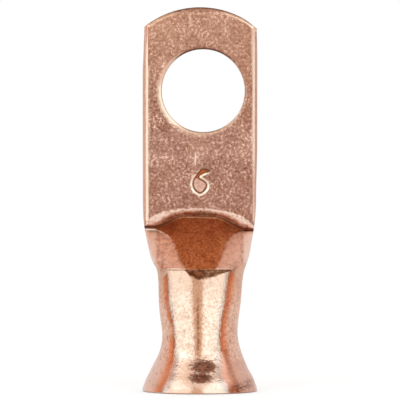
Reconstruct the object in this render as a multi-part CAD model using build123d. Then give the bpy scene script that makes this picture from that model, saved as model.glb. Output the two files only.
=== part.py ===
from build123d import *
import os
from math import cos, hypot, radians, sin

# Tube
# The barrel keeps the tube's own round section. Its axis is the Z axis, and z = 0 is the mouth.
barrel_radius = 3.85
barrel_wall = 1.0
seam_gap = 0.08             # height left in the hollow where the walls meet at the crease

# Bell mouth
mouth_radius = 5.9
mouth_rim = 0.95            # width of the flat rim
mouth_edge_round = 0.15
bell_height = 4.5           # where the straight flare would meet the barrel
bell_blend = 5.0            # radius of the bend between the flare and the barrel

# Crest, where the press stops flattening the barrel
press_start = 7.4           # height at which the barrel begins to turn oval
crest_height = 12.45
crest_width = 8.9
crest_drop = 1.3            # how far the front is pushed in from the barrel's front line
crest_fold = 2.6            # radius of the two sides

# Shoulder, just above the crest
shoulder_rise = 0.9
shoulder_width = 9.85
shoulder_drop = 2.05
shoulder_fold = 2.2

# Brow, where the sides are already flat and the middle still stands proud
brow_height = 16.8
brow_width = 11.25
brow_hump = 1.3             # how far its middle stands in front of the palm

# Palm
crease_height = 18.5
crease_width = 11.6
palm_width = 11.8
palm_thickness = 1.75
palm_spread = 1.6           # height over which the crease widens to the full palm
overall_length = 39.2
end_crown = 2.15            # rise of the curved end cut above its two corners

# Stud hole
hole_radius = 4.2
hole_to_end = 8.55
hole_offset = 0.3           # the punch sits a little to the right
hole_rollover = 0.35        # rounding that the punch leaves on the front edge

# Stamped figure 6
figure_centre_height = 20.95
figure_bowl_width = 1.44
figure_bowl_height = 1.8
figure_stroke = 0.34
figure_depth = 0.14
figure_shoulder = (-0.28, 1.12)    # the hook's middle, from the centre of the bowl
figure_tip = (1.0, 1.54)           # the hook's end, from the centre of the bowl

# Places worked out from the sizes above
back_y = barrel_radius
palm_front_y = back_y - palm_thickness
palm_fold = palm_thickness / 2
palm_fold_y = back_y - palm_fold
palm_wall = palm_fold - seam_gap / 2
hole_height = overall_length - hole_to_end
end_corner_height = overall_length - end_crown
shoulder_height = crest_height + shoulder_rise
full_palm_height = crease_height + palm_spread


def tube_section(height, inset):
    """The round tube as four equal arcs: front, right, back and left."""
    radius = barrel_radius - inset
    turns = [radians(45 + 90 * quarter) for quarter in range(4)]
    right_back, left_back, left_front, right_front = [
        (radius * cos(turn), radius * sin(turn)) for turn in turns
    ]
    with BuildSketch(Plane.XY.offset(height)) as section:
        with BuildLine():
            ThreePointArc(left_front, (0, -radius), right_front)
            ThreePointArc(right_front, (radius, 0), right_back)
            ThreePointArc(right_back, (0, radius), left_back)
            ThreePointArc(left_back, (-radius, 0), left_front)
        make_face()
    return section.sketch


def bulge_end(fold_x, fold_y, fold_radius, reach, side):
    """Where the arc of one long side leaves the right-hand fold.

    The arc crosses the middle at reach from the line of the folds and is tangent to both folds.
    Level with the folds it is a straight line. side is -1 at the front and 1 at the back.
    """
    if reach - fold_radius < seam_gap / 100:
        return (fold_x, fold_y + side * fold_radius)
    bulge_radius = (fold_x**2 + reach**2 - fold_radius**2) / (2 * (reach - fold_radius))
    centre_y = side * (reach - bulge_radius)
    span = hypot(fold_x, centre_y)
    return (
        fold_x * bulge_radius / span,
        fold_y + centre_y - centre_y * bulge_radius / span,
    )


def long_side(start, middle, end):
    """One long side of a pressed section: straight where its middle is level with its ends."""
    if abs(middle[1] - start[1]) < seam_gap / 100:
        return Line(start, end)
    return ThreePointArc(start, middle, end)


def pressed_section(height, width, fold_radius, fold_y, front_y, inset):
    """The flattened tube at one height: two round folds with a front and a back between them."""
    fold_x = width / 2 - fold_radius
    radius = fold_radius - inset
    front_reach = fold_y - front_y - inset
    back_reach = back_y - fold_y - inset
    front_end = bulge_end(fold_x, fold_y, radius, front_reach, -1)
    back_end = bulge_end(fold_x, fold_y, radius, back_reach, 1)
    front_start = (-front_end[0], front_end[1])
    back_start = (-back_end[0], back_end[1])
    with BuildSketch(Plane.XY.offset(height)) as section:
        with BuildLine():
            long_side(front_start, (0, fold_y - front_reach), front_end)
            ThreePointArc(front_end, (fold_x + radius, fold_y), back_end)
            long_side(back_end, (0, fold_y + back_reach), back_start)
            ThreePointArc(back_start, (-fold_x - radius, fold_y), front_start)
        make_face()
    return section.sketch


def bell(rim_radius, neck_radius, blend):
    """The flared mouth and the round barrel above it, as a solid of revolution."""
    with BuildPart() as turned:
        with BuildSketch(Plane.XZ):
            with BuildLine():
                FilletPolyline(
                    (rim_radius, 0),
                    (neck_radius, bell_height),
                    (neck_radius, press_start),
                    radius=blend,
                )
                Polyline(
                    (neck_radius, press_start),
                    (0, press_start),
                    (0, 0),
                    (rim_radius, 0),
                )
            make_face()
        revolve(axis=Axis.Z)
    return turned.part


def pressed_tube(inset, palm_inset, rim_radius, blend):
    """The tube from its mouth to the crease: its outside with no inset, or its hollow.

    For the hollow, the insets are the wall at the barrel and the wall at the palm.
    """
    crest_y = (back_y - barrel_radius + crest_drop) / 2
    shoulder_y = (back_y - barrel_radius + shoulder_drop) / 2
    tube = tube_section(press_start, inset)
    crest = pressed_section(
        crest_height, crest_width, crest_fold, crest_y, crest_drop - barrel_radius, inset
    )
    shoulder = pressed_section(
        shoulder_height, shoulder_width, shoulder_fold, shoulder_y, shoulder_drop - barrel_radius, inset
    )
    brow = pressed_section(
        brow_height, brow_width, palm_fold, palm_fold_y, palm_front_y - brow_hump, palm_inset
    )
    crease = pressed_section(
        crease_height, crease_width, palm_fold, palm_fold_y, palm_front_y, palm_inset
    )
    form = bell(rim_radius, barrel_radius - inset, blend)
    form += loft([tube, crest], ruled=True)
    form += loft([crest, shoulder, brow, crease], ruled=True)
    return form


def palm():
    """The two walls pressed into one flat slab with round folded edges, still without its end cut."""
    crease = pressed_section(crease_height, crease_width, palm_fold, palm_fold_y, palm_front_y, 0)
    full_palm = pressed_section(full_palm_height, palm_width, palm_fold, palm_fold_y, palm_front_y, 0)
    slab = loft([crease, full_palm], ruled=True)
    slab += extrude(full_palm, amount=overall_length - full_palm_height)
    return slab


# Outside and hollow of the tube
outside = pressed_tube(0, 0, mouth_radius, bell_blend) + palm()
hollow = pressed_tube(barrel_wall, palm_wall, mouth_radius - mouth_rim, bell_blend + barrel_wall)

# End cut: the shear leaves a shallow arc between two corners
with BuildPart() as end_cut:
    with BuildSketch(Plane.XZ.offset(-back_y)):
        with BuildLine():
            Polyline(
                (-palm_width / 2, end_corner_height),
                (-palm_width, end_corner_height),
                (-palm_width, 2 * overall_length),
                (palm_width, 2 * overall_length),
                (palm_width, end_corner_height),
                (palm_width / 2, end_corner_height),
            )
            ThreePointArc(
                (palm_width / 2, end_corner_height),
                (0, overall_length),
                (-palm_width / 2, end_corner_height),
            )
        make_face()
    extrude(amount=palm_thickness)

# Stud hole: a straight wall, widened at the front by the round that the punch leaves
hole_axis = Axis((hole_offset, 0, hole_height), (0, 1, 0))
round_middle = hole_rollover * (1 - sin(radians(45)))
with BuildPart() as punch:
    with BuildSketch(Plane.XY.offset(hole_height)):
        with BuildLine():
            Polyline(
                (hole_offset + hole_radius, palm_front_y + hole_rollover),
                (hole_offset + hole_radius, back_y),
                (hole_offset, back_y),
                (hole_offset, palm_front_y),
                (hole_offset + hole_radius + hole_rollover, palm_front_y),
            )
            ThreePointArc(
                (hole_offset + hole_radius + hole_rollover, palm_front_y),
                (hole_offset + hole_radius + round_middle, palm_front_y + round_middle),
                (hole_offset + hole_radius, palm_front_y + hole_rollover),
            )
        make_face()
    revolve(axis=hole_axis)

# Stamped figure: an oval bowl with a hook over it, sunk into the front of the palm
with BuildPart() as figure:
    with BuildSketch(Plane.XZ.offset(figure_depth - palm_front_y)):
        with Locations((0, figure_centre_height)):
            Ellipse((figure_bowl_width + figure_stroke) / 2, (figure_bowl_height + figure_stroke) / 2)
            Ellipse(
                (figure_bowl_width - figure_stroke) / 2,
                (figure_bowl_height - figure_stroke) / 2,
                mode=Mode.SUBTRACT,
            )
        with BuildLine() as hook:
            ThreePointArc(
                (-figure_bowl_width / 2, figure_centre_height),
                (figure_shoulder[0], figure_centre_height + figure_shoulder[1]),
                (figure_tip[0], figure_centre_height + figure_tip[1]),
            )
        trace(hook.line, line_width=figure_stroke)
    extrude(amount=-2 * figure_depth)

lug = outside - hollow - end_cut.part - punch.part - figure.part

# The outer edge of the mouth is slightly rounded
mouth_edge = [
    edge
    for edge in lug.edges().filter_by(GeomType.CIRCLE)
    if abs(edge.radius - mouth_radius) < seam_gap and abs(edge.center().Z) < seam_gap
]
lug = fillet(mouth_edge, mouth_edge_round)

os.makedirs("parts", exist_ok=True)
lug.label = "copper_lug"
export_step(lug, "parts/copper_lug.step")

print("solids", len(lug.solids()), "volume mm3", round(lug.volume, 2))
print("mass g at 8.96 g/cm3", round(lug.volume * 8.96 / 1000, 3))
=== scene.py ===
"""A copper cable lug, standing on its flared mouth as in the photograph. Metres, +Z up, front towards -Y."""
import math

import bpy
import numpy as np
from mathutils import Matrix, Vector


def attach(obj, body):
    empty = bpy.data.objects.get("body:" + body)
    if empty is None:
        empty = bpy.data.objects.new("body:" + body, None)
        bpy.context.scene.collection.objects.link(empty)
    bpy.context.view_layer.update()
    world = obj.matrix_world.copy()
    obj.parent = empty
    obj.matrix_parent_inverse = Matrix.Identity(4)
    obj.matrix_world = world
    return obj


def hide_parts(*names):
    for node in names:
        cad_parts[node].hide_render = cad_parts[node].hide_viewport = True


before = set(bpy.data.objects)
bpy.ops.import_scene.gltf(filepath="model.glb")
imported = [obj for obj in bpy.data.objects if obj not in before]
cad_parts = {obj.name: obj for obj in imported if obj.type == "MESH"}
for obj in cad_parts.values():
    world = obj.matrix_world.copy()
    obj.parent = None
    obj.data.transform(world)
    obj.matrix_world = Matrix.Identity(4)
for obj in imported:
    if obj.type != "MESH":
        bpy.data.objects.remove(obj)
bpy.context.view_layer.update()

MM = 0.001


# The tube, from its flared mouth to the flattened palm.
# A length of seamless copper tube. Its mouth is belled out, its other end is pressed flat, and the press
# leaves a ramp between a crest on the barrel and a crease along the foot of the palm.
length = 39.2
palm_front, palm_back = 2.1, 3.85
fold_line = 2.975
crest_z, crease_z = 12.42, 17.66
crest_front = -2.6
crease_drop = 1.21          # how much lower the crease lies at the sides than in the middle
crease_depth = 0.24         # how far the crease dips behind the palm's front
crease_bend = 0.07          # radius of the crease's bottom
ridge_height = 0.03         # how far the rolled foot stands in front of the palm
palm_flat = 5.28            # half the width of the palm's flat front
ramp_slope = (palm_front + crease_depth - crest_front) / (crease_z - crest_z)

# Measures of the outside by height: half width, front, back, depth of the sides, half width of the front
# and back flats, and the angle by which the shoulder turns away from the front flat.
half_width_at = ((0.0, 5.88), (1.0, 5.50), (1.8, 5.10), (2.7, 4.72), (3.5, 4.30), (4.3, 4.00), (5.5, 3.83),
                 (6.3, 3.86), (7.2, 3.97), (8.8, 4.16), (10.8, 4.30), (12.1, 4.46), (12.5, 4.60),
                 (13.3, 4.92), (14.1, 5.14), (15.0, 5.30), (15.8, 5.47), (16.6, 5.60), (17.4, 5.72),
                 (19.3, 5.83), (25.0, 5.88), (34.0, 5.88), (37.2, 5.84), (40.0, 5.84))
front_at = ((0.0, -5.80), (1.0, -5.44), (1.8, -5.05), (2.7, -4.64), (3.5, -4.28), (4.3, -4.00), (5.2, -3.84),
            (6.0, -3.74), (7.0, -3.60), (8.0, -3.43), (9.4, -3.18), (10.8, -2.93), (12.45, crest_front), (20.0, -2.0))
back_at = ((0.0, 5.80), (1.0, 5.46), (1.8, 5.08), (2.7, 4.72), (3.5, 4.30), (4.3, 4.00), (5.5, 3.85), (40.0, 3.85))
middle_at = ((0.0, 0.0), (6.3, 0.0), (9.4, 0.10), (12.45, 0.38), (13.35, 1.00), (16.8, 2.85), (18.5, fold_line),
             (40.0, fold_line))
front_flat_at = ((12.45, 1.40), (13.2, 1.90), (14.2, 2.26), (15.0, 2.52), (15.5, 2.80), (16.05, 3.40), (16.35, 4.15),
                 (16.6, 4.90), (16.9, palm_flat), (40.0, palm_flat))
back_flat_at = ((12.45, 1.50), (16.8, 4.40), (18.5, 4.95), (40.0, 4.98))
shoulder_turn_at = ((12.3, 0.0), (12.9, 20.0), (16.0, 24.0), (17.6, 9.0), (40.0, 9.0))
# The tube isn't quite even: how much wider it is at each side than the widths above.
wider_left_at = ((0.0, 0.0), (0.4, 0.10), (1.4, 0.13), (2.4, 0.09), (3.4, 0.04), (5.4, 0.0), (7.5, 0.06), (9.0, 0.03),
                 (10.4, -0.04), (12.4, -0.15), (13.3, 0.03), (14.5, 0.06), (16.6, 0.11), (18.0, 0.08), (20.0, 0.03),
                 (25.0, 0.01), (32.8, 0.01), (34.2, -0.06), (37.0, -0.11), (40.0, -0.11))
wider_right_at = ((0.0, 0.0), (1.4, 0.13), (2.4, 0.0), (3.4, 0.09), (4.4, 0.11), (5.6, 0.0), (7.4, -0.07), (9.4, 0.0),
                  (13.5, -0.02), (16.0, -0.05), (20.6, -0.07), (24.0, 0.0), (40.0, 0.01))
# A slight swelling with a hollow over it, left of the barrel's front: how far they lie behind the round form.
swell_at = ((0.0, 0.0), (4.6, 0.0), (6.0, -0.050), (8.5, 0.070), (11.6, 0.0), (40.0, 0.0))
swell_x, swell_reach = -2.8, 0.7


def rounded(stations, z, reach=0.35):
    """Value at height z of a line through the stations, its corners rounded by averaging over z +- reach."""
    heights, values = np.array(stations).T
    offsets = np.linspace(-reach, reach, 9)
    return np.mean([np.interp(z + offset, heights, values) for offset in offsets], axis=0)


def ease(low, high, value):
    """0 below low, 1 above high, and a smooth S between them."""
    t = np.clip((value - low) / (high - low), 0.0, 1.0)
    return t * t * (3.0 - 2.0 * t)


def crease_height(x):
    """Height of the crease: level in the middle, then down in an S to each side, a little lower at the right."""
    return crease_z - crease_drop * ease(1.5, 4.9, np.abs(x)) - 0.03 * x


def lip_height(x):
    """How tall the palm's rolled foot is: from the crease up to a ridge that is half an ellipse."""
    ridge = 18.50 - 2.3 * (1.0 - np.sqrt(1.0 - np.minimum(np.abs(x) / 5.8, 1.0) ** 2)) - 0.03 * x
    return np.maximum(ridge - crease_height(x), 0.25)


def front_face(x, z):
    """Front of the pressed part: the flat palm, its foot rolling back into the crease, then the sloping ramp.

    The foot is a parabola under a small ridge. A hyperbola rounds the bottom of the crease.
    """
    above = z - crease_height(x)
    depth = 0.5 * (-above + np.sqrt(above * above + crease_bend * crease_bend))
    rolled = np.clip(1.0 - above / lip_height(x), 0.0, 1.0)
    behind = crease_depth * np.where(above > 0, rolled ** 2, 1.0)
    ridge = ridge_height * np.exp(-((above - lip_height(x)) / 0.13) ** 2)
    return palm_front + behind - ramp_slope * depth - ridge


# Columns run round the section: front left to right, right fold, back right to left, left fold.
# On a flat each column has a share of the flat's width, on a fold an angle round it.
half_share = np.concatenate([np.linspace(0.0, 0.25, 23)[1:], np.linspace(0.25, 1.0, 24)[1:]])
flat_share = np.concatenate([-half_share[::-1], [0.0], half_share])
n_flat = len(flat_share)
n_fold = 30
fold_turn = (np.arange(n_fold) + 0.5) / n_fold * math.pi - math.pi / 2
share = np.concatenate([flat_share, np.ones(n_fold), flat_share[::-1], -np.ones(n_fold)])
turn = np.concatenate([np.full(n_flat, -math.pi / 2), fold_turn, np.full(n_flat, math.pi / 2), fold_turn + math.pi])
round_span = math.radians(20)
round_turn = np.concatenate([
    -math.pi / 2 + round_span * flat_share,
    -math.pi / 2 + round_span + (fold_turn + math.pi / 2) * (1 - 2 * round_span / math.pi),
    math.pi / 2 - round_span * flat_share[::-1],
    math.pi / 2 + round_span + (fold_turn + math.pi / 2) * (1 - 2 * round_span / math.pi),
])
n_round = len(share)


def section(z, inset):
    """Points (x, y) of the tube's section at each height z, moved inwards by inset; both are columns.

    Below the crest it is an ellipse through the width, front and back. Above it, a front and a back
    flat are joined at the sides by parts of ellipses. In front they start at the shoulder's turn, so a
    plain edge stays between flat and shoulder. The palm's front flat is a little wider at the right. The two
    kinds of section change over at the crest in front, and gently at the sides and the back. Last come the
    uneven sides and the swelling.
    """
    width = rounded(half_width_at, z, 0.45) - inset
    front = rounded(front_at, z, 0.60) + inset
    back = rounded(back_at, z) - inset
    middle = rounded(middle_at, z)
    front_flat = np.minimum(rounded(front_flat_at, z, 0.3), width * 0.995)
    back_flat = np.minimum(rounded(back_flat_at, z, 0.5), width * 0.995)
    at_front = np.sin(turn) < 0
    flat = np.where(at_front, front_flat + 0.09 * ease(16.9, 17.6, z) * (share > 0), back_flat)
    edge_y = front_face(front_flat, z) + inset
    reach = np.where(at_front, middle - edge_y, back - middle)
    full = math.pi / 2 - np.radians(rounded(shoulder_turn_at, z)) * at_front
    around = np.arcsin(np.clip(np.abs(np.sin(turn)), 0, 1)) / (math.pi / 2) * full
    x_pressed = flat * share + (width - flat) * np.sign(share) * (np.cos(around) - np.cos(full)) / (1 - np.cos(full))
    y_pressed = middle + reach * np.sign(np.sin(turn)) * np.sin(around) / np.sin(full)
    on_flat = np.abs(np.abs(np.sin(turn)) - 1.0) < 1e-9
    x_pressed = np.where(on_flat, flat * share, x_pressed)
    y_pressed = np.where(on_flat & at_front, front_face(x_pressed, z) + inset, y_pressed)
    round_reach = np.where(np.sin(round_turn) < 0, middle - front, back - middle)
    x_round = width * np.cos(round_turn)
    y_round = middle + round_reach * np.sin(round_turn)
    over = np.where(at_front, 0.08 + 1.6 * ease(3.4, 4.4, np.abs(x_round)), 3.0)
    pressed = ease(crest_z - over, crest_z + over, z)
    x = (1 - pressed) * x_round + pressed * x_pressed
    y = (1 - pressed) * y_round + pressed * y_pressed
    wider = np.where(x < 0, rounded(wider_left_at, z), rounded(wider_right_at, z))
    swell = at_front * rounded(swell_at, z, 0.6) * np.exp(-((x - swell_x) / swell_reach) ** 2)
    return x * (1 + wider / width), y + swell


# The size figure and the marks of the press on the front.
# A plain size figure is struck into the palm with a sharp punch, which leaves a wide bright bevel round
# a raised island. The end of the same press bites a shallow notch under the crest.
figure_z = 20.95
figure_edge = ((1.02, 1.52), (0.68, 1.63), (0.26, 1.68), (0.02, 1.52), (-0.22, 1.24), (-0.51, 0.84), (-0.72, 0.42),
               (-0.77, 0.08), (-0.64, -0.32), (-0.37, -0.66), (-0.01, -0.85), (0.36, -0.66), (0.65, -0.32),
               (0.73, 0.03), (0.62, 0.29), (0.31, 0.52), (-0.01, 0.68), (-0.11, 0.84), (-0.01, 1.03), (0.26, 1.20),
               (0.62, 1.37), (1.02, 1.47), (1.02, 1.52))
figure_depth = 0.15
scratch_line = ((-0.52, 23.05), (-0.45, 24.35))


def distance_to_line(x, z, points):
    """Shortest distance from each point (x, z) to an open line through the given points."""
    best = np.full(np.shape(x), 1e9)
    for (ax, az), (bx, bz) in zip(points[:-1], points[1:]):
        dx, dz = bx - ax, bz - az
        t = np.clip(((x - ax) * dx + (z - az) * dz) / (dx * dx + dz * dz + 1e-12), 0.0, 1.0)
        best = np.minimum(best, np.hypot(x - ax - t * dx, z - az - t * dz))
    return best


def outside_figure(x, z):
    """Signed distance to the figure's edge, negative inside: a ray to the right crosses it an odd number of times."""
    u, v = x, z - figure_z
    inside = np.zeros(np.shape(x), dtype=bool)
    for (ax, az), (bx, bz) in zip(figure_edge[:-1], figure_edge[1:]):
        crosses = (az > v) != (bz > v)
        meets = ax + (v - az) / (bz - az if bz != az else 1e-9) * (bx - ax)
        inside ^= crosses & (u < meets)
    away = distance_to_line(u, v, figure_edge)
    return np.where(inside, -away, away)


def over_hook(x, z):
    """1 above the hook, where the punch leaves no bevel, 0 below a line that leans along the hook."""
    return np.maximum(ease(-0.06, 0.10, z - figure_z - 1.27 - 0.24 * x), ease(0.86, 1.06, x))


def figure_relief(x, z):
    """Depth of the struck figure: a bevel outside its edge, a steep wall inside it, and an island or a hook."""
    away = outside_figure(x, z)
    bevel = figure_depth * np.clip(1 - away / 0.27, 0, 1) * (1 - 0.8 * over_hook(x, z))
    island = 0.02 + (figure_depth - 0.02) * np.clip(1 + away / 0.11, 0, 1)
    hook = ease(0.70, 0.95, z - figure_z)
    return np.where(away > 0, bevel, island * (1 - hook) + (figure_depth + 0.02) * hook)


def front_relief(x, z):
    """How far the palm lies behind its plain form: the struck figure, and a scratch over it."""
    scratch = 0.04 * np.clip(1 - distance_to_line(x, z, scratch_line) / 0.11, 0, 1)
    return figure_relief(x, z) + scratch


notch_depth = 0.06
notch_tall_at = ((-1.50, 0.02), (-1.05, 0.62), (-0.45, 1.02), (0.18, 1.17), (0.85, 0.96), (1.40, 0.74), (1.95, 0.55),
                 (2.90, 0.14), (3.20, 0.02))


def notch(x, z):
    """Shallow bite under the crest: deepest right at the crest, fading downwards to an uneven V."""
    tall = np.interp(x, *np.array(notch_tall_at).T)
    below = crest_z - 0.06 - z
    return notch_depth * (tall > 0.03) * np.clip(1 - below / tall, 0, 1) * ease(-0.10, 0.02, below)


# The stud hole.
# It is punched through both walls from the front. The punch rolls the front edge over, most at the lower
# left, and leaves a sheared wall with the seam of the two walls in it.
hole_x, hole_z, hole_r = 0.33, 30.68, 4.27
rollover_depth = 0.23
window_low, window_high = 25.3, 35.8


def rollover_width(angle):
    """Width of the rolled edge: wide towards the lower left, narrow towards the upper right."""
    return 0.24 + 0.40 * (0.5 + 0.5 * np.cos(angle - math.radians(210)))


# The body, one closed skin.
# The outside runs from the end cut down to the mouth, turns round the rim and goes up the bore, which
# closes where the ramp presses the two walls together.
outer_z = np.concatenate([
    np.linspace(length, 37.4, 10, endpoint=False), np.linspace(37.4, window_high, 8, endpoint=False),
    np.linspace(window_high, window_low, 40, endpoint=False), np.linspace(window_low, 23.0, 20, endpoint=False),
    np.linspace(23.0, 19.6, 62, endpoint=False), np.linspace(19.6, 16.0, 56, endpoint=False),
    np.linspace(16.0, 13.2, 24, endpoint=False), np.linspace(13.2, 11.0, 40, endpoint=False),
    np.linspace(11.0, 5.5, 30, endpoint=False), np.linspace(5.5, 0.12, 40, endpoint=False)])
rim_z = np.array([0.12, 0.05, 0.01, 0.0, 0.0, 0.0, 0.02, 0.08])
rim_inset = np.array([0.0, 0.02, 0.07, 0.16, 0.45, 0.80, 0.88, 0.92])
inner_z = np.concatenate([np.linspace(0.4, 12.0, 32), np.linspace(12.3, 17.2, 14)])
wall = np.interp(inner_z, [0.4, 3.0, 12.45, 16.8, 17.2], [0.95, 1.0, 1.0, 0.82, 0.80])
row_z = np.concatenate([outer_z, rim_z, inner_z])[:, None]
row_inset = np.concatenate([np.zeros(len(outer_z)), rim_inset, wall])[:, None]
n_outer = len(outer_z)
skin_x, skin_y = section(row_z, row_inset)
skin_z = np.broadcast_to(row_z, skin_x.shape).copy()

# The end cut is a shallow arc: rows above the hole's window are stretched up to it.
end_sagitta = 2.15
end_radius = (5.9 ** 2 + end_sagitta ** 2) / (2 * end_sagitta)


def end_height(x):
    """Height of the end cut at x: a circle's arc that is highest in the middle."""
    return length - end_radius + np.sqrt(end_radius ** 2 - np.clip(x, -5.9, 5.9) ** 2) - 0.09 * ease(4.4, 5.8, x)


end_arc = end_height(skin_x)
stretch = (end_arc - window_high) / (length - window_high)
skin_z = np.where(skin_z > window_high, window_high + (skin_z - window_high) * stretch, skin_z)

# The figure, the scratch and the notch go into the front, and the end cut's front edge is rounded.
on_front = np.ix_(np.arange(n_outer), np.arange(n_flat))
front_x, front_z = skin_x[on_front], skin_z[on_front]
skin_y[on_front] += front_relief(front_x, front_z) * ease(18.6, 18.9, front_z) + notch(front_x, front_z)
end_round = 0.10 * np.clip(1 - (end_arc[on_front] - front_z) / 0.26, 0, 1) ** 2
skin_y[on_front] += end_round

# Rows and columns of the window that the hole's rays replace.
first_row = int(np.argmin(np.abs(outer_z - window_high)))
last_row = int(np.argmin(np.abs(outer_z - window_low)))
n_rows = len(row_z)
skin_index = np.arange(n_rows * n_round).reshape(n_rows, n_round)
skin_points = np.stack([skin_x, skin_y, skin_z], axis=-1).reshape(-1, 3)
blocks, faces = [skin_points], []


def quads(index, wrap=False):
    """Quads between neighbouring rows and columns of an index grid, closed sideways if wrap is set."""
    beside = np.roll(index, -1, axis=1) if wrap else index[:, 1:]
    here = index if wrap else index[:, :-1]
    return np.stack([here[:-1], here[1:], beside[1:], beside[:-1]], axis=-1).reshape(-1, 4)


def add_points(points):
    """Adds an array of points to the body and returns their numbers in the same arrangement."""
    start = sum(len(block) for block in blocks)
    blocks.append(np.asarray(points).reshape(-1, 3))
    return start + np.arange(len(blocks[-1])).reshape(np.shape(points)[:-1])


# The skin's quads, leaving out the front and back windows.
cell_row, cell_column = np.meshgrid(np.arange(n_rows - 1), np.arange(n_round), indexing="ij")
in_rows = (cell_row >= first_row) & (cell_row < last_row)
back_start = n_flat + n_fold
in_columns = (cell_column < n_flat - 1) | ((cell_column >= back_start) & (cell_column < back_start + n_flat - 1))
faces.append(quads(skin_index, wrap=True)[(~(in_rows & in_columns)).reshape(-1)])

# Borders of the two windows, both in the same turn as seen from the front.
left, right = 0, n_flat - 1
front_border = np.concatenate([
    skin_index[last_row, left:right], skin_index[last_row:first_row:-1, right],
    skin_index[first_row, right:left:-1], skin_index[first_row:last_row, left]])
back_left, back_right = back_start + n_flat - 1, back_start
back_border = np.concatenate([
    skin_index[last_row, back_left:back_right:-1], skin_index[last_row:first_row:-1, back_right],
    skin_index[first_row, back_right:back_left], skin_index[first_row:last_row, back_left]])
border = skin_points[front_border]
ray_angle = np.arctan2(border[:, 2] - hole_z, border[:, 0] - hole_x)[None, :]


def ring_points(radius, y, angle):
    """Points on a ring round the hole at the given radius and depth; all three broadcast together."""
    radius, y, angle = np.broadcast_arrays(radius, y, angle)
    return np.stack([hole_x + radius * np.cos(angle), y, hole_z + radius * np.sin(angle)], axis=-1)


def rays(ring, border, steps):
    """Rows of points on straight lines from a ring to a border, at even steps without the two ends."""
    t = np.linspace(0.0, 1.0, steps + 2)[1:-1, None, None]
    return ring * (1.0 - t) + skin_points[border] * t


# Front rays: down the rolled edge, then out to the border.
roll = rollover_width(ray_angle)
roll_step = np.linspace(0.0, 1.0, 10)[:, None]
roll_drop = rollover_depth * (0.35 + 0.65 * roll / 0.65) * (1 - roll_step) ** 1.35
rolled_edge = ring_points(hole_r + roll * roll_step, palm_front + roll_drop, ray_angle)
front_index = add_points(np.concatenate([rolled_edge, rays(rolled_edge[-1:], front_border, 6)]))
faces.append(quads(np.vstack([front_index, front_border]), wrap=True))

# Back rays.
back_edge_ring = ring_points(hole_r + 0.05, palm_back, ray_angle)
back_index = add_points(np.concatenate([back_edge_ring, rays(back_edge_ring, back_border, 6)]))
faces.append(quads(np.vstack([back_index, back_border]), wrap=True)[:, ::-1])

# The hole's wall, with the seam of the two flattened walls half way.
wall_y = np.array([palm_front + rollover_depth + 0.10, 2.70, 2.93, fold_line, 3.02, 3.30, 3.60, palm_back - 0.05])
wall_r = hole_r + np.array([0.0, 0.0, 0.0, 0.05, 0.0, 0.0, 0.0, 0.01])
wall_index = add_points(ring_points(wall_r[:, None], wall_y[:, None], ray_angle))
faces.append(quads(np.vstack([front_index[0], wall_index, back_index[0]]), wrap=True)[:, ::-1])

# The end cut is sheared: a flat face that shows the two walls and the hairline between them.
half_fold = n_fold // 2
right_fold = np.arange(n_flat, n_flat + n_fold)
left_fold = np.arange(2 * n_flat + n_fold, n_round)
front_side = np.concatenate([left_fold[half_fold:], np.arange(n_flat), right_fold[:half_fold]])
back_side = np.concatenate([left_fold[:half_fold][::-1], np.arange(back_start, back_start + n_flat)[::-1],
                            right_fold[half_fold:][::-1]])


def bridge(row, steps, dip):
    """Closes a loop of the skin: a grid from its front side to its back side, sunk by dip at each step."""
    front_edge, back_edge = skin_index[row, front_side], skin_index[row, back_side]
    share_y = np.array(steps)[:, None, None]
    between = skin_points[front_edge][None] * (1 - share_y) + skin_points[back_edge][None] * share_y
    between[..., 2] -= np.array(dip)[:, None]
    return np.vstack([front_edge, add_points(between), back_edge])


cap = bridge(0, (0.06, 0.44, 0.485, 0.50, 0.515, 0.56, 0.94), (0.0, 0.0, 0.0, 0.10, 0.0, 0.0, 0.0))
faces.append(quads(cap)[:, ::-1])
bore_end = bridge(n_rows - 1, (0.5,), (-0.05,))
faces.append(quads(bore_end))
polygons = [cap[:, 0], cap[::-1, -1], bore_end[::-1, 0], bore_end[:, -1]]

# The points of the skin that no face uses, inside the two windows, are dropped.
faces = np.concatenate(faces)
used = np.unique(faces)
number = np.zeros(used[-1] + 1, dtype=int)
number[used] = np.arange(len(used))
points = np.concatenate(blocks)[used]
body_mesh = bpy.data.meshes.new("lug_body")
body_mesh.from_pydata((points * MM).tolist(), [], number[faces].tolist() + [number[p].tolist() for p in polygons])
body_mesh.update()
body_mesh.shade_smooth()
body = bpy.data.objects.new("lug_body", body_mesh)
bpy.context.scene.collection.objects.link(body)
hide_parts("copper_lug")
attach(body, "root")


# The finish of the copper.
# Bare copper: bright and fine-grained on the drawn barrel, satin and pebbled where the press struck the
# palm, brown on the ramp, partly with old oxide and partly as painted shade. Painted shade darkens the crease,
# the lip's underside, the notch under the crest, the crest's corners and the rims of the cuts. Painted
# highlights lighten the fold lines, the rolled hole edge and the lip's ridge, and a dark spot and tints on the
# bell are painted reflections.
px, py, pz = points.T


def soft_spot(x, z, half_wide, half_tall):
    """A soft spot round (x, z): 1 in its middle, a bell curve outwards."""
    return np.exp(-(((px - x) / half_wide) ** 2 + ((pz - z) / half_tall) ** 2))


def oval(x, z, half_wide, half_tall):
    """Distance from the middle of an oval at (x, z), 1 at its edge."""
    return np.hypot((px - x) / half_wide, (pz - z) / half_tall)


def streak(line, half_wide):
    """A streak along a line: 1 on it, down to 0 at half_wide beside it."""
    return np.clip(1 - distance_to_line(px, pz, line) / half_wide, 0, 1)


def front_only(values, elsewhere=0.0):
    """The values on the front, and one value for all of the back."""
    return np.where(facing_front, values, elsewhere)


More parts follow.
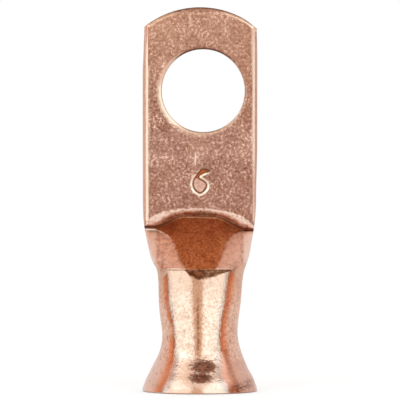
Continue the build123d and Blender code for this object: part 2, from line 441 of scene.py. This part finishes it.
facing_front = py < rounded(middle_at, pz)
skin_part = used < len(skin_points)
flat_half = rounded(front_flat_at, pz, 0.3)
ramp_top = crease_height(px) - 0.04 + 0.08 * ease(0.8, 1.9, np.abs(px))
ramp_inside = np.minimum(np.minimum(flat_half - np.abs(px), ramp_top - pz), pz - crest_z)
towards_back = ease(-0.35, 0.35, py - rounded(middle_at, pz))
palm_inside = (1 - towards_back) * (pz - crease_height(px) - lip_height(px)) + towards_back * 0.05 * (pz - 15.6)
hole_angle = np.arctan2(pz - hole_z, px - hole_x)
from_hole = np.hypot(px - hole_x, pz - hole_z) - hole_r
# The rolled hole edge: burnished by the punch, with a painted highlight that is strongest at the lower left and left
# out at the top.
lower_left = 0.6 + 0.4 * (0.5 + 0.5 * np.cos(hole_angle - math.radians(190)))
not_on_top = ease(0.97, 0.40, np.sin(hole_angle + 0.26))
on_roll = 0.84 * np.clip(1.08 - from_hole / rollover_width(hole_angle), 0, 1) * lower_left * not_on_top
# A painted highlight along each fold line of the palm.
fold_away = np.where(px > 0, np.abs(px - 5.49) / 0.17, np.abs(px + 5.42) / 0.19)
fold_highlight = np.clip(1 - fold_away, 0, 1) * ease(16.9, 17.6, pz)
# A painted highlight along the rounded front edge of the end cut.
from_end = end_height(px) - pz
end_edge_highlight = np.clip(1 - np.abs(from_end - 0.26) / 0.22, 0, 1) * ease(1.6, 3.4, np.abs(px)) * 0.8
# Real scratches: one over the figure, a paler one near the end.
bared_line = ((-0.52, 23.10), (-0.45, 24.35))
pale_line = ((-1.05, 38.4), (-0.85, 37.4))
scratched = np.maximum(0.55 * streak(bared_line, 0.19), 0.35 * streak(pale_line, 0.28))
burnish_and_highlight = np.maximum(np.maximum(on_roll, fold_highlight), np.maximum(end_edge_highlight, scratched))
burnish_and_highlight = np.where(facing_front & (py < 2.75), burnish_and_highlight, 0.0)
above_hole = ease(0.62, 0.90, np.sin(hole_angle))
below_hole = 0.75 * ease(0.80, 0.97, -np.sin(hole_angle))
# Painted shade: a dark line round the hole's rim above and below it, and one along the end cut's top edge.
hole_rim_shade = np.clip(1.5 - from_hole / 0.11, 0, 1) * np.maximum(above_hole, below_hole)
end_edge_shade = np.clip(1.6 - from_end / 0.14, 0, 1) * ease(5.6, 2.0, np.abs(px))
# The hole's sheared wall: dark cut metal, with painted shade towards its top.
in_wall = (np.abs(from_hole) < 0.08) & (py > palm_front + 0.20) & (py < palm_back - 0.02)
cut_and_shade = np.where(in_wall, 0.35 + 0.65 * above_hole, np.where(py < 2.9, np.maximum(hole_rim_shade, end_edge_shade), 0.0))
cut_and_shade = np.where((from_end < 0.02) & (py > 2.3), 0.45, cut_and_shade)
on_shoulder = ease(12.7, 13.5, pz) * ease(17.0, 16.3, pz) * (1 - towards_back)
shoulder_away = np.abs(px) - 4.30
# A dark line on the bell's right flank, along the edge of the mirrored lamp: painted shade.
flank_reflection_edge_at = ((2.62, 4.3), (2.80, 3.2), (3.10, 2.2), (3.60, 0.9), (3.90, 0.1))
crest_rise = (pz - crest_z) / (1 + 7 * ease(3.2, 4.4, np.abs(px)) * (1 - towards_back) + 12 * towards_back)
corner_lean = 0.3 * (pz - 12.4)
crease_away = np.abs(pz - crease_height(px) - 0.08) + 0.14 * ease(4.0, 1.5, np.abs(px))
draw_line = np.exp(-((px + 0.19) / 0.13) ** 2) * ease(3.9, 4.7, pz) * ease(10.7, 8.2, pz)

# Marks that the material reads, one value per point: distances in millimetres, or shares from 0 to 1.
marks = {
    "ramp_inside": front_only(ramp_inside, -2.0),
    "palm_inside": palm_inside,
    "above_crest": crest_rise,
    "side_strip": on_shoulder * ease(-0.10, 0.25, shoulder_away),
    "crest_corner_shade": front_only(soft_spot(-3.80, 12.6, 0.30, 0.75)
                               + 1.3 * soft_spot(3.42 + corner_lean, 12.5, 0.26, 0.65)),
    "side_line": on_shoulder * np.exp(-(shoulder_away / 0.13) ** 2),
    "bell_dark_reflection": front_only(1 - np.minimum(oval(0.37, 2.70, 1.62, 0.88), oval(0.12, 1.62, 1.50, 0.66)), -2.0),
    "crest_notch": front_only(notch(px, pz) / notch_depth),
    "figure_edge": np.where(facing_front & skin_part, outside_figure(px, pz), 2.0),
    "over_hook": over_hook(px, pz),
    "crease_away": front_only(crease_away, 2.0),
    "burnish_and_highlight": burnish_and_highlight,
    "sheared_and_shade": cut_and_shade,
    "palm_height": np.clip((pz - 19.0) / 20.0, 0, 1),
    "fold_outer_shade": np.where(pz > 17.0, ease(5.50, 5.66, np.abs(px)), 0.0),
    "lip_share": np.where(facing_front, (pz - crease_height(px)) / lip_height(px), np.where(pz < 18.0, -3.0, 3.0)),
    "off_middle": np.clip(np.abs(px) / 5.5, 0, 1),
    "flank_reflection_edge": front_only(streak(flank_reflection_edge_at, 0.26)),
    "flank_stain": front_only(soft_spot(3.9, 0.55, 0.9, 0.45) + 0.7 * soft_spot(5.0, 1.0, 0.5, 0.5)),
    "lip_shade_patch": np.exp(-((px - 0.45) / 0.95) ** 4),
    "draw_line": front_only(draw_line),
}
for name, values in marks.items():
    layer = body_mesh.attributes.new(name, "FLOAT", "POINT")
    layer.data.foreach_set("value", np.clip(values, -3, 3).astype(np.float32))

copper = bpy.data.materials.new("bare_copper")
copper.use_nodes = True
nodes, links = copper.node_tree.nodes, copper.node_tree.links
shader = nodes["Principled BSDF"]


def wire(source, socket):
    """Sets a socket: a number or a colour is written to it, another node's output is linked to it."""
    if isinstance(source, bpy.types.NodeSocket):
        links.new(source, socket)
    elif isinstance(source, tuple):
        socket.default_value = (*source, 1.0)
    else:
        socket.default_value = source


def mark(name):
    """Reads one of the body's marks."""
    reader = nodes.new("ShaderNodeAttribute")
    reader.attribute_name = name
    return reader.outputs["Fac"]


def arithmetic(operation, first, second):
    """One step of arithmetic on two values."""
    step = nodes.new("ShaderNodeMath")
    step.operation = operation
    wire(first, step.inputs[0])
    wire(second, step.inputs[1])
    return step.outputs[0]


def times(first, second):
    """Product of two values."""
    return arithmetic("MULTIPLY", first, second)


def plus(first, second):
    """Sum of two values."""
    return arithmetic("ADD", first, second)


def ramp(value, low, high, to_low=0.0, to_high=1.0):
    """Smooth step of a value from to_low at low to to_high at high."""
    step = nodes.new("ShaderNodeMapRange")
    step.interpolation_type = "SMOOTHSTEP"
    wire(value, step.inputs["Value"])
    for socket, number in (("From Min", low), ("From Max", high), ("To Min", to_low), ("To Max", to_high)):
        step.inputs[socket].default_value = number
    return step.outputs["Result"]


def blend(factor, first, second, kind="RGBA"):
    """Mixes two colours or two numbers by a factor."""
    step = nodes.new("ShaderNodeMix")
    step.data_type = kind
    slot_a, slot_b, result = (6, 7, 2) if kind == "RGBA" else (2, 3, 0)
    wire(factor, step.inputs[0])
    wire(first, step.inputs[slot_a])
    wire(second, step.inputs[slot_b])
    return step.outputs[result]


where = nodes.new("ShaderNodeTexCoord").outputs["Object"]


def grain(size, detail=2.0, stretch=(1.0, 1.0, 1.0), roughness=0.55):
    """Noise with lumps of about the given size in millimetres, stretched along the axes."""
    mapping = nodes.new("ShaderNodeMapping")
    mapping.inputs["Scale"].default_value = tuple(1.0 / s for s in stretch)
    links.new(where, mapping.inputs["Vector"])
    noise = nodes.new("ShaderNodeTexNoise")
    noise.inputs["Scale"].default_value = 1000.0 / size
    noise.inputs["Detail"].default_value = detail
    noise.inputs["Roughness"].default_value = roughness
    links.new(mapping.outputs["Vector"], noise.inputs["Vector"])
    return noise.outputs["Fac"]


# Grains of the surface, and a wobble that keeps the edges between the finishes uneven.
pebbles = grain(0.50, 4.0, roughness=0.62)
specks = plus(grain(0.30, 4.0, roughness=0.76), times(arithmetic("SUBTRACT", grain(1.3, 2.0), 0.5), 0.22))
mottle = grain(0.24, 4.0, roughness=0.74)
clouds = grain(3.2, 3.0)
scuffs = grain(0.50, 4.0, (1.0, 1.0, 0.7), 0.65)
turned = grain(0.26, 4.0, (1.7, 1.7, 0.6), 0.70)
wobble = times(arithmetic("SUBTRACT", grain(0.45, 2.0), 0.5), 0.55)

# Where each finish lies: 1 inside, 0 outside. The positions across and up are in metres.
on_palm = ramp(plus(mark("palm_inside"), times(wobble, 0.6)), -0.06, 0.10)
on_ramp = ramp(plus(mark("ramp_inside"), wobble), -0.13, 0.02)
position = nodes.new("ShaderNodeSeparateXYZ")
links.new(where, position.inputs[0])
across, up = position.outputs["X"], position.outputs["Z"]
on_bell = ramp(plus(up, times(wobble, 0.0012)), 0.0036, 0.0030)
past_crest = ramp(plus(mark("above_crest"), times(wobble, 0.5)), -0.08, 0.16)
# The bell's dark spot is a painted reflection: dark brown where the copper would mirror something dark.
on_bell_reflection = ramp(plus(mark("bell_dark_reflection"), times(arithmetic("SUBTRACT", turned, 0.5), 2.2)), -0.05, 0.45)
notch_shade = ramp(plus(mark("crest_notch"), wobble), 0.02, 0.30)
edge = mark("figure_edge")
hook_shade = times(ramp(edge, 0.05, 0.0), ramp(up, 0.02155, 0.02190))
figure_wall_shade = times(ramp(edge, 0.08, 0.01), ramp(edge, -0.17, -0.08))
on_island = times(ramp(edge, -0.08, -0.18), ramp(up, 0.02190, 0.02155))
on_bevel = times(times(ramp(edge, 0.03, 0.07), ramp(edge, 0.30, 0.22)),
                ramp(mark("over_hook"), 0.6, 0.0, 0.12, 1.0))
on_burnish_and_highlight = ramp(mark("burnish_and_highlight"), 0.02, 0.65)
on_cut_and_shade = mark("sheared_and_shade")
crease_shade = ramp(mark("crease_away"), 0.24, 0.08)

# Colours: first each area's own tone, then all of them laid over one another on the part.
bright = blend(ramp(specks, 0.37, 0.60), (0.68, 0.43, 0.318), (0.94, 0.672, 0.552))
# Painted shade: the barrel's highlights turn darker towards the crest.
bright = blend(ramp(up, 0.0088, 0.0118, 0.0, 0.70), bright, (0.73, 0.475, 0.355))
palm_tone = blend(ramp(specks, 0.36, 0.51), (0.165, 0.059, 0.037), (0.445, 0.225, 0.165))
palm_tone = blend(ramp(specks, 0.52, 0.63), palm_tone, (1.0, 0.70, 0.58))
palm_tone = blend(ramp(clouds, 0.45, 0.80, 0.0, 0.40), palm_tone, (0.52, 0.27, 0.18))
palm_tone = blend(ramp(mark("palm_height"), 0.25, 0.95, 0.0, 0.32), palm_tone, (0.72, 0.39, 0.26))
palm_tone = blend(ramp(mark("palm_height"), 0.32, 0.06, 0.0, 0.36), palm_tone, (0.40, 0.19, 0.135))
right_side = times(ramp(mark("palm_height"), 0.33, 0.45), ramp(across, 0.002, 0.005, 0.0, 0.30))
palm_tone = blend(right_side, palm_tone, (0.42, 0.185, 0.115))
under_hole = times(ramp(mark("palm_height"), 0.16, 0.26, 0.0, 0.16), ramp(mark("palm_height"), 0.42, 0.34))
palm_tone = blend(under_hole, palm_tone, (0.82, 0.50, 0.40))
shoulder_tone = blend(ramp(scuffs, 0.42, 0.66), (1.0, 0.77, 0.66), (0.70, 0.47, 0.39))
shoulder_tone = blend(ramp(across, 0.0005, 0.0025, 0.0, 0.5), shoulder_tone, (0.74, 0.50, 0.42))
# The ramp's brown: partly old oxide, partly painted shade that stands in for copper mirroring copper.
ramp_tone = blend(ramp(mottle, 0.36, 0.64), (0.38, 0.135, 0.050), (0.76, 0.330, 0.146))
bell_tone = blend(ramp(clouds, 0.40, 0.65), (0.74, 0.49, 0.40), (0.90, 0.64, 0.53))
# Painted reflections on the bell: darker at the right, paler at the far left, orange left of the middle, lighter
# right of it.
bell_tone = blend(ramp(across, 0.0026, 0.0036, 0.0, 0.45), bell_tone, (0.60, 0.34, 0.25))
bell_tone = blend(ramp(across, -0.0028, -0.0038, 0.0, 0.6), bell_tone, (0.93, 0.73, 0.65))
left_of_middle = times(ramp(across, -0.0036, -0.0029, 0.0, 0.8), ramp(across, -0.0006, -0.0013))
bell_tone = blend(left_of_middle, bell_tone, (0.83, 0.50, 0.37))
right_of_middle = times(ramp(across, 0.0009, 0.0014, 0.0, 0.8), ramp(across, 0.0030, 0.0025))
bell_tone = blend(right_of_middle, bell_tone, (0.91, 0.66, 0.52))
tone = blend(times(on_bell, 0.75), bright, bell_tone)
tone = blend(past_crest, tone, shoulder_tone)
tone = blend(on_palm, tone, palm_tone)
# Painted shade on the outer side of each fold, darker at the right.
tone = blend(mark("fold_outer_shade"), tone, blend(ramp(across, 0.0, 0.001), (0.80, 0.53, 0.43), (0.66, 0.44, 0.36)))
# The lip: painted shade darkens its underside towards the crease and a patch under the middle of its ridge, and a
# painted highlight lightens the ridge. The shade is lighter towards both ends, less so at the right.
lip_share = plus(mark("lip_share"), times(wobble, 0.7))
lip_shade = plus(lip_share, times(mark("off_middle"), 0.22))
lip_shade = plus(lip_shade, ramp(mark("off_middle"), 0.52, 0.80, 0.0, 0.27))
lip_shade = plus(lip_shade, ramp(across, 0.0028, 0.0045, 0.0, -0.11))
lip_tone = blend(ramp(specks, 0.38, 0.60), (0.46, 0.17, 0.09), (0.80, 0.42, 0.30))
lip_tone = blend(ramp(lip_shade, 0.38, 1.00), (0.20, 0.036, 0.010), lip_tone)
under_ridge_shade = times(mark("lip_shade_patch"), ramp(lip_share, 0.92, 0.66))
lip_tone = blend(times(under_ridge_shade, ramp(specks, 0.62, 0.48, 0.2, 0.85)), lip_tone, (0.17, 0.085, 0.042))
ridge_highlight = times(ramp(lip_shade, 0.76, 1.08), ramp(specks, 0.34, 0.52, 0.40, 1.0))
lip_tone = blend(ridge_highlight, lip_tone, (1.0, 0.755, 0.65))
tone = blend(times(ramp(mark("side_strip"), 0.0, 1.0), 0.8), tone, (0.97, 0.84, 0.76))
tone = blend(times(mark("side_line"), ramp(scuffs, 0.30, 0.60, 0.10, 0.65)), tone, (0.42, 0.18, 0.12))
# Painted shade: a mid-brown band round the crease.
tone = blend(ramp(mark("crease_away"), 0.46, 0.24, 0.0, 0.5), tone, (0.70, 0.45, 0.36))
tone = blend(times(ramp(lip_share, -0.10, 0.05), ramp(lip_share, 1.20, 1.02)), tone, lip_tone)
ramp_tone = blend(ramp(grain(1.1, 3.0, roughness=0.65), 0.45, 0.70, 0.0, 0.55), ramp_tone, (0.27, 0.070, 0.026))
# Painted shade on the ramp: darker towards the crease and in its top corners.
ramp_tone = blend(ramp(up, 0.0125, 0.0178, 0.0, 0.45), ramp_tone, (0.29, 0.075, 0.028))
high_corner_shade = times(ramp(up, 0.0154, 0.0170), ramp(mark("off_middle"), 0.28, 0.55, 0.0, 0.55))
ramp_tone = blend(high_corner_shade, ramp_tone, (0.19, 0.042, 0.017))
# Painted shade: a dark speckled fringe along the ramp's border on the shoulders.
ramp_fringe_shade = times(ramp(plus(mark("ramp_inside"), wobble), -0.34, -0.14), ramp(mark("ramp_inside"), -0.9, -0.4))
tone = blend(times(ramp_fringe_shade, 0.6), tone, (0.50, 0.24, 0.15))
tone = blend(on_ramp, tone, ramp_tone)
# Painted shade: the dark line along the edge of the lamp's mirror image on the bell's right flank.
tone = blend(times(mark("flank_reflection_edge"), ramp(turned, 0.36, 0.56, 0.40, 1.0)), tone, (0.26, 0.10, 0.058))
tone = blend(times(mark("flank_stain"), ramp(turned, 0.38, 0.56, 0.12, 1.0)), tone, (0.20, 0.095, 0.068))
# Painted reflection: the dark brown spot on the bell.
tone = blend(times(on_bell_reflection, 0.96), tone, blend(ramp(turned, 0.42, 0.60), (0.072, 0.019, 0.009), (0.34, 0.130, 0.078)))
# Painted shade: soft brown shading at the crest's two outer corners.
tone = blend(times(mark("crest_corner_shade"), ramp(scuffs, 0.35, 0.60, 0.25, 0.75)), tone, (0.34, 0.13, 0.07))
# Painted shade in the notch under the crest.
tone = blend(notch_shade, tone, blend(ramp(scuffs, 0.40, 0.62), (0.12, 0.042, 0.021), (0.33, 0.15, 0.085)))
tone = blend(times(mark("draw_line"), ramp(turned, 0.38, 0.54, 0.15, 0.8)), tone, (0.30, 0.115, 0.055))
# Painted shade: dark down the bottom of the crease.
tone = blend(times(crease_shade, 0.95), tone, (0.125, 0.032, 0.013))
tone = blend(on_island, tone, blend(ramp(specks, 0.38, 0.62), (0.60, 0.34, 0.27), (0.84, 0.54, 0.45)))
# Painted shade in the hook's groove, darker at its right end.
tone = blend(hook_shade, tone, blend(ramp(across, 0.0003, 0.0009), (0.50, 0.135, 0.035), (0.20, 0.06, 0.025)))
# Painted shade: a dark line down the figure's inner wall.
tone = blend(times(figure_wall_shade, 0.85), tone, (0.26, 0.09, 0.04))
# Painted highlight on the figure's bevel.
tone = blend(on_bevel, tone, (0.97, 0.78, 0.64))
# Painted highlights on the fold lines, the end's edge and the rolled hole edge, lighter at the right, over real
# burnish and scratches.
tone = blend(times(on_burnish_and_highlight, 0.92), tone, blend(ramp(across, 0.0048, 0.0052), (0.93, 0.635, 0.485), (1.0, 0.77, 0.64)))
# Dark cut metal on the sheared faces, and painted shade at the hole's rim and the end's top edge.
tone = blend(on_cut_and_shade, tone, (0.16, 0.065, 0.04))
# Painted shade: darker along the bottom of the mouth's rim, by the floor.
tone = blend(ramp(up, 0.00022, 0.00004, 0.0, 0.6), tone, (0.42, 0.26, 0.20))
wire(tone, shader.inputs["Base Color"])

# Roughness, then the fine relief.
dull = blend(past_crest, ramp(clouds, 0.35, 0.7, 0.10, 0.15), 0.34, "FLOAT")
dull = blend(on_palm, dull, 0.36, "FLOAT")
dull = blend(on_ramp, dull, 0.38, "FLOAT")
dull = blend(on_bell_reflection, dull, 0.55, "FLOAT")
dull = blend(on_bevel, dull, 0.16, "FLOAT")
dull = blend(on_burnish_and_highlight, dull, 0.16, "FLOAT")
dull = blend(on_cut_and_shade, dull, 0.45, "FLOAT")
wire(dull, shader.inputs["Roughness"])
shader.inputs["Metallic"].default_value = 1.0

struck = blend(on_palm, blend(past_crest, 0.055, 0.40, "FLOAT"), 0.85, "FLOAT")
struck = blend(on_burnish_and_highlight, struck, 0.03, "FLOAT")
relief = plus(times(pebbles, struck), times(grain(0.16, 2.0, (1.0, 1.0, 2.0)), 0.08))
relief = plus(relief, times(turned, times(on_bell, 0.04)))
bump = nodes.new("ShaderNodeBump")
bump.inputs["Strength"].default_value = 1.0
bump.inputs["Distance"].default_value = 0.00012
wire(relief, bump.inputs["Height"])
links.new(bump.outputs["Normal"], shader.inputs["Normal"])
body_mesh.materials.append(copper)


# The floor, the light and the camera.
# A white sweep under soft light. Two large soft boxes stand left and right of the camera, and a long weak
# panel hangs over it. The sweep's own glow is weaker round the lug, where the lamps already make it white,
# so the lug's soft shadow stays.
floor_mesh = bpy.data.meshes.new("floor")
floor_mesh.from_pydata([(-3, -3, 0), (3, -3, 0), (3, 3, 0), (-3, 3, 0)], [], [(0, 1, 2, 3)])
floor = bpy.data.objects.new("floor", floor_mesh)
bpy.context.scene.collection.objects.link(floor)
white = bpy.data.materials.new("white_paper")
white.use_nodes = True
paper_nodes, paper_links = white.node_tree.nodes, white.node_tree.links
paper = paper_nodes["Principled BSDF"]
paper.inputs["Base Color"].default_value = (0.88, 0.88, 0.88, 1.0)
paper.inputs["Roughness"].default_value = 0.9
paper.inputs["Specular IOR Level"].default_value = 0.1
paper.inputs["Emission Color"].default_value = (0.62, 0.86, 0.97, 1.0)

# The camera sees the paper glow, more so away from the lug, and the copper mirrors a weaker glow.
mirrored_glow = 0.15
paper_ray = paper_nodes.new("ShaderNodeLightPath")
from_lug = paper_nodes.new("ShaderNodeVectorMath")
from_lug.operation = "LENGTH"
paper_links.new(paper_nodes.new("ShaderNodeTexCoord").outputs["Object"], from_lug.inputs[0])
glow_level = paper_nodes.new("ShaderNodeMapRange")
for socket, number in (("From Min", 0.03), ("From Max", 0.50), ("To Min", 0.45), ("To Max", 0.63)):
    glow_level.inputs[socket].default_value = number
paper_links.new(from_lug.outputs["Value"], glow_level.inputs["Value"])
glow = paper_nodes.new("ShaderNodeMath")
glow.operation = "MULTIPLY"
paper_links.new(glow_level.outputs["Result"], glow.inputs[1])
paper_links.new(paper_ray.outputs["Is Camera Ray"], glow.inputs[0])
mirrored = paper_nodes.new("ShaderNodeMath")
mirrored.operation = "MULTIPLY_ADD"
mirrored.inputs[1].default_value = mirrored_glow
paper_links.new(paper_ray.outputs["Is Glossy Ray"], mirrored.inputs[0])
paper_links.new(glow.outputs[0], mirrored.inputs[2])
paper_links.new(mirrored.outputs[0], paper.inputs["Emission Strength"])
floor_mesh.materials.append(white)


def soft_box(name, turn_left, rise, reach, size, level):
    """A rectangular lamp round the lug, in degrees left of the camera and above it; level 1 looks white."""
    a, b = math.radians(turn_left), math.radians(rise)
    place = Vector((-math.sin(a) * math.cos(b), -math.cos(a) * math.cos(b), math.sin(b))) * reach
    lamp = bpy.data.lights.new(name, "AREA")
    lamp.shape = "RECTANGLE"
    lamp.size, lamp.size_y = size
    lamp.energy = level * math.pi * size[0] * size[1]
    lamp.color = (0.57, 0.92, 1.07)
    holder = bpy.data.objects.new(name, lamp)
    holder.location = place + Vector((0, 0, 0.02))
    holder.rotation_euler = (-place).to_track_quat("-Z", "Y").to_euler()
    bpy.context.scene.collection.objects.link(holder)


# Name, degrees left of the camera, degrees up, distance, size and level.
soft_box("left_box", 49.5, 8, 0.50, (0.59, 0.62), 0.90)
soft_box("right_box", -34, 8, 0.50, (0.50, 0.62), 0.94)
soft_box("upper_panel", -5, 54, 0.55, (1.50, 0.32), 0.45)

# The room that the copper mirrors, one shade for each direction: warm and pale behind the camera, dark and
# then orange at the sides, white behind the lug. The camera itself sees plain white.
world = bpy.data.worlds.new("studio")
bpy.context.scene.world = world
world.use_nodes = True
sky, sky_links = world.node_tree.nodes, world.node_tree.links
direction = sky.new("ShaderNodeSeparateXYZ")
sky_links.new(sky.new("ShaderNodeTexCoord").outputs["Generated"], direction.inputs[0])
lean = sky.new("ShaderNodeMath")
lean.operation = "MULTIPLY_ADD"
lean.inputs[1].default_value = 0.17
sky_links.new(direction.outputs["X"], lean.inputs[0])
sky_links.new(direction.outputs["Y"], lean.inputs[2])
sweep = sky.new("ShaderNodeMapRange")
sweep.inputs["From Min"].default_value = -1.0
sky_links.new(lean.outputs[0], sweep.inputs["Value"])
room = sky.new("ShaderNodeValToRGB")
room.color_ramp.interpolation = "EASE"
sky_links.new(sweep.outputs["Result"], room.inputs["Fac"])
shades = ((0.22, (0.80, 0.625, 0.475)), (0.325, (0.30, 0.13, 0.07)), (0.350, (0.34, 0.14, 0.075)),
          (0.375, (0.65, 0.240, 0.106)), (0.46, (0.78, 0.355, 0.19)), (0.57, (0.82, 0.61, 0.52)),
          (0.65, (0.86, 0.71, 0.65)), (0.81, (0.84, 0.75, 0.72)))
stops = room.color_ramp.elements
stops[0].position, stops[-1].position = shades[0][0], shades[-1][0]
for place, shade in shades[1:-1]:
    stops.new(place)
for stop, (place, shade) in zip(stops, shades):
    stop.color = (*shade, 1.0)
seen_white = sky.new("ShaderNodeMix")
seen_white.data_type = "RGBA"
sky_links.new(sky.new("ShaderNodeLightPath").outputs["Is Camera Ray"], seen_white.inputs[0])
sky_links.new(room.outputs["Color"], seen_white.inputs[6])
seen_white.inputs[7].default_value = (1.0, 1.0, 1.0, 1.0)
sky_links.new(seen_white.outputs[2], sky["Background"].inputs["Color"])
sky["Background"].inputs["Strength"].default_value = 1.0

camera_data = bpy.data.cameras.new("camera")
camera_data.sensor_width = 36.0
camera_data.lens = 283.0
camera_data.clip_start = 0.01
camera = bpy.data.objects.new("camera", camera_data)
camera.location = (0.0, -0.32, 0.01945)
camera.rotation_euler = (math.pi / 2, 0.0, 0.0)
bpy.context.scene.collection.objects.link(camera)
bpy.context.scene.camera = camera
bpy.context.scene.view_settings.view_transform = "Standard"
